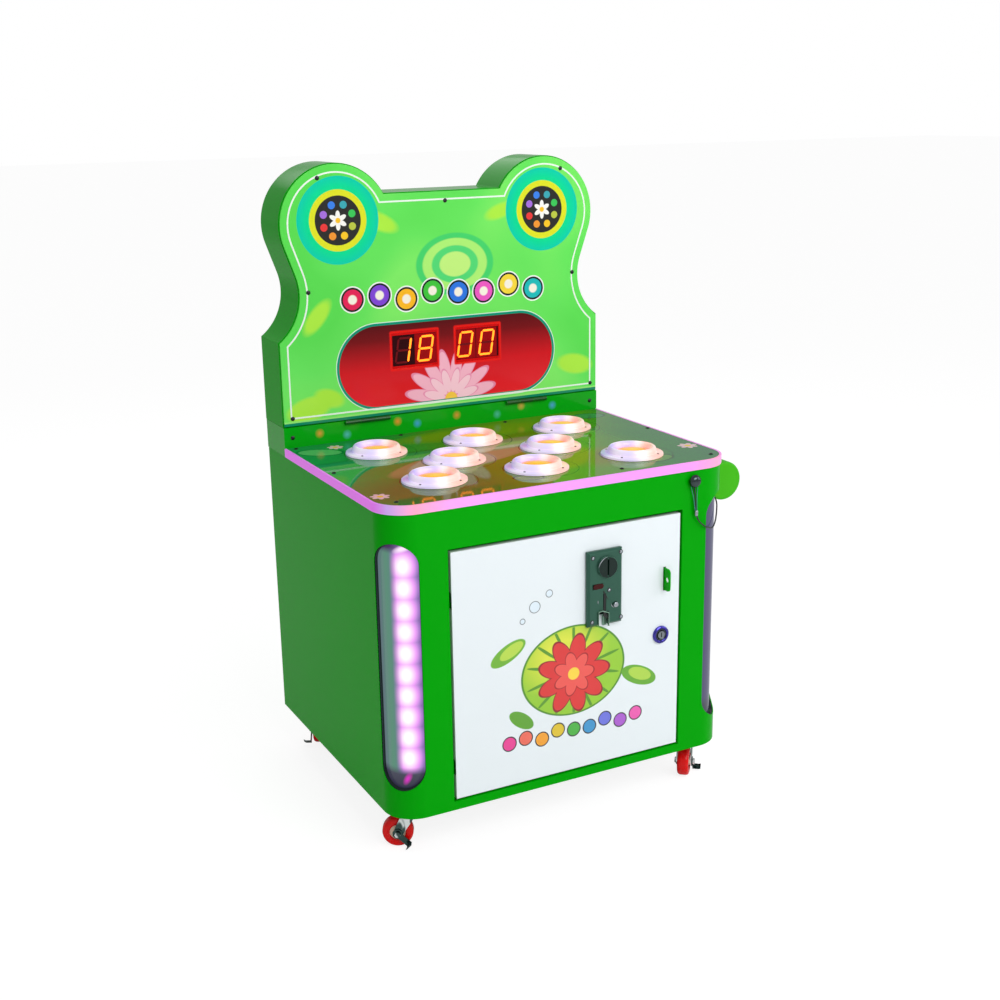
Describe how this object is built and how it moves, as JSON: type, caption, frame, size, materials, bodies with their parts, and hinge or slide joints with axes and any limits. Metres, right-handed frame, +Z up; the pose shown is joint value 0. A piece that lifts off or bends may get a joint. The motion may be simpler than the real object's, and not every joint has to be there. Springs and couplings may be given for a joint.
{
  "type": "mole pounding arcade machine",
  "caption": "Child-height pounding game cabinet on braked casters: lit pads on a flat deck, two-lobed folding header with digit windows, coin door, lit corner windows and a tethered mallet.",
  "frame": {"origin": "floor level under the middle of the machine's box, mallet included and tether left out", "axes": "+Z up, the front and its coin door face -Y, the mallet hangs on +X"},
  "size_m": [0.6903, 0.5439, 1.0476],
  "materials": {
    "green_paint": "glossy powder coat",
    "header_print": "back-printed clear acrylic",
    "deck_print": "clear acrylic over a print",
    "rim_pink": "lit diffusing edge strip",
    "door_white": "glossy white",
    "lens": "clear moulded plastic",
    "light_strip": "lit",
    "pad_clear": "lit translucent plastic",
    "pad_yellow": "lit",
    "display_red": "tinted window",
    "zinc": "zinc plated",
    "caster_chrome": "bright",
    "chrome_bright": "bright",
    "coin_metal": "dark cast",
    "dark_plastic": "moulded",
    "board": "solder mask",
    "wheel_red": "polyurethane tread on a cream hub",
    "mallet_foam": "soft foam skin",
    "mallet_plastic": "moulded",
    "wire_sheath": "sheathed wire"
  },
  "bodies": {
    "cabinet": {"back_panel": "green_paint", "base_panel": "zinc", "cabinet_shell": "green_paint", "cash_box": "zinc", "control_board": "board", "corner_lens_left": "lens", "corner_lens_right": "lens", "deck_light_rim": "rim_pink", "deck_panel": "deck_print", "led_strip_left": "light_strip", "led_strip_right": "light_strip", "mallet_holder": "green_paint", "pad_bezel_1": "pad_clear", "pad_bezel_2": "pad_clear", "pad_bezel_3": "pad_clear", "pad_bezel_4": "pad_clear", "pad_bezel_5": "pad_clear", "pad_bezel_6": "pad_clear", "pad_bezel_7": "pad_clear", "pad_bezel_8": "pad_clear", "power_inlet": "dark_plastic", "power_supply": "zinc", "riser_box": "green_paint", "speaker": "dark_plastic", "tether_anchor": "chrome_bright", "tether_cord": "wire_sheath"},
    "header": {"header_shell": "green_paint", "header_face": "header_print", "digit_display_left": "display_red", "digit_display_right": "display_red"},
    "door": {"door_panel": "door_white", "coin_plate": "coin_metal", "coin_mechanism": "dark_plastic", "lock_body": "chrome_bright"},
    "coin_return": {"coin_return_lever": "chrome_bright"},
    "lock_cylinder": {"lock_cylinder": "chrome_bright"},
    "power_rocker": {"power_rocker": "dark_plastic"},
    "mallet": {"mallet_head": "mallet_foam", "mallet_handle": "mallet_plastic"},
    "pad_1": {"pad_button_1": "pad_yellow"},
    "pad_2": {"pad_button_2": "pad_yellow"},
    "pad_3": {"pad_button_3": "pad_yellow"},
    "pad_4": {"pad_button_4": "pad_yellow"},
    "pad_5": {"pad_button_5": "pad_yellow"},
    "pad_6": {"pad_button_6": "pad_yellow"},
    "pad_7": {"pad_button_7": "pad_yellow"},
    "pad_8": {"pad_button_8": "pad_yellow"},
    "caster_fl": {"caster_fork_fl": "caster_chrome"},
    "wheel_fl": {"caster_wheel_fl": "wheel_red"},
    "brake_fl": {"caster_brake_fl": "zinc"},
    "caster_fr": {"caster_fork_fr": "caster_chrome"},
    "wheel_fr": {"caster_wheel_fr": "wheel_red"},
    "brake_fr": {"caster_brake_fr": "zinc"},
    "caster_rl": {"caster_fork_rl": "caster_chrome"},
    "wheel_rl": {"caster_wheel_rl": "wheel_red"},
    "brake_rl": {"caster_brake_rl": "zinc"},
    "caster_rr": {"caster_fork_rr": "caster_chrome"},
    "wheel_rr": {"caster_wheel_rr": "wheel_red"},
    "brake_rr": {"caster_brake_rr": "zinc"}
  },
  "joints": [
    {"name": "header_fold", "type": "hinge", "parent": "cabinet", "child": "header", "pos_m": [-0.03425, 0.17095, 0.61], "axis": [1, 0, 0], "range_deg": [0, 90]},
    {"name": "door_swing", "type": "hinge", "parent": "cabinet", "child": "door", "pos_m": [-0.23485, -0.25105, 0.29152], "axis": [0, 0, -1], "range_deg": [0, 100]},
    {"name": "lock_turn", "type": "hinge", "parent": "door", "child": "lock_cylinder", "pos_m": [0.13723, -0.25575, 0.29112], "axis": [0, 1, 0], "range_deg": [0, 90]},
    {"name": "coin_return_press", "type": "slide", "parent": "door", "child": "coin_return", "axis": [0, 1, 0], "range_m": [0, 0.003], "stiffness_N_per_m": 300, "springref_m": -0.002},
    {"name": "pad_press_1", "type": "slide", "parent": "cabinet", "child": "pad_1", "axis": [0, 0, -1], "range_m": [0, 0.004], "stiffness_N_per_m": 1500, "springref_m": -0.003},
    {"name": "pad_press_2", "type": "slide", "parent": "cabinet", "child": "pad_2", "axis": [0, 0, -1], "range_m": [0, 0.004], "stiffness_N_per_m": 1500, "springref_m": -0.003},
    {"name": "pad_press_3", "type": "slide", "parent": "cabinet", "child": "pad_3", "axis": [0, 0, -1], "range_m": [0, 0.004], "stiffness_N_per_m": 1500, "springref_m": -0.003},
    {"name": "pad_press_4", "type": "slide", "parent": "cabinet", "child": "pad_4", "axis": [0, 0, -1], "range_m": [0, 0.004], "stiffness_N_per_m": 1500, "springref_m": -0.003},
    {"name": "pad_press_5", "type": "slide", "parent": "cabinet", "child": "pad_5", "axis": [0, 0, -1], "range_m": [0, 0.004], "stiffness_N_per_m": 1500, "springref_m": -0.003},
    {"name": "pad_press_6", "type": "slide", "parent": "cabinet", "child": "pad_6", "axis": [0, 0, -1], "range_m": [0, 0.004], "stiffness_N_per_m": 1500, "springref_m": -0.003},
    {"name": "pad_press_7", "type": "slide", "parent": "cabinet", "child": "pad_7", "axis": [0, 0, -1], "range_m": [0, 0.004], "stiffness_N_per_m": 1500, "springref_m": -0.003},
    {"name": "pad_press_8", "type": "slide", "parent": "cabinet", "child": "pad_8", "axis": [0, 0, -1], "range_m": [0, 0.004], "stiffness_N_per_m": 1500, "springref_m": -0.003},
    {"name": "mallet_lift", "type": "slide", "parent": "cabinet", "child": "mallet", "axis": [0, 0, 1], "range_m": [0, 0.2]},
    {"name": "caster_swivel_fl", "type": "hinge", "parent": "cabinet", "child": "caster_fl", "pos_m": [-0.30025, -0.20075, 0.07], "axis": [0, 0, 1], "continuous": true},
    {"name": "wheel_spin_fl", "type": "hinge", "parent": "caster_fl", "child": "wheel_fl", "pos_m": [-0.31623, -0.19247, 0.025], "axis": [-0.4602, -0.8878, 0], "continuous": true},
    {"name": "brake_fl", "type": "hinge", "parent": "caster_fl", "child": "brake_fl", "pos_m": [-0.31623, -0.19247, 0.025], "axis": [-0.4602, -0.8878, 0], "range_deg": [0, 30]},
    {"name": "caster_swivel_fr", "type": "hinge", "parent": "cabinet", "child": "caster_fr", "pos_m": [0.23175, -0.20075, 0.07], "axis": [0, 0, 1], "continuous": true},
    {"name": "wheel_spin_fr", "type": "hinge", "parent": "caster_fr", "child": "wheel_fr", "pos_m": [0.21975, -0.21417, 0.025], "axis": [0.7455, -0.6665, 0], "continuous": true},
    {"name": "brake_fr", "type": "hinge", "parent": "caster_fr", "child": "brake_fr", "pos_m": [0.21975, -0.21417, 0.025], "axis": [0.7455, -0.6665, 0], "range_deg": [0, 30]},
    {"name": "caster_swivel_rl", "type": "hinge", "parent": "cabinet", "child": "caster_rl", "pos_m": [-0.30025, 0.21075, 0.07], "axis": [0, 0, 1], "continuous": true},
    {"name": "wheel_spin_rl", "type": "hinge", "parent": "caster_rl", "child": "wheel_rl", "pos_m": [-0.29197, 0.22673, 0.025], "axis": [-0.8878, 0.4602, 0], "continuous": true},
    {"name": "brake_rl", "type": "hinge", "parent": "caster_rl", "child": "brake_rl", "pos_m": [-0.29197, 0.22673, 0.025], "axis": [-0.8878, 0.4602, 0], "range_deg": [0, 30]},
    {"name": "caster_swivel_rr", "type": "hinge", "parent": "cabinet", "child": "caster_rr", "pos_m": [0.23175, 0.21075, 0.07], "axis": [0, 0, 1], "continuous": true},
    {"name": "wheel_spin_rr", "type": "hinge", "parent": "caster_rr", "child": "wheel_rr", "pos_m": [0.22862, 0.22848, 0.025], "axis": [-0.9848, -0.1736, 0], "continuous": true},
    {"name": "brake_rr", "type": "hinge", "parent": "caster_rr", "child": "brake_rr", "pos_m": [0.22862, 0.22848, 0.025], "axis": [-0.9848, -0.1736, 0], "range_deg": [0, 30]},
    {"name": "power_rocker_tilt", "type": "hinge", "parent": "cabinet", "child": "power_rocker", "pos_m": [-0.23819, 0.26805, 0.15388], "axis": [-1, 0, 0], "range_deg": [0, 20]}
  ]
}
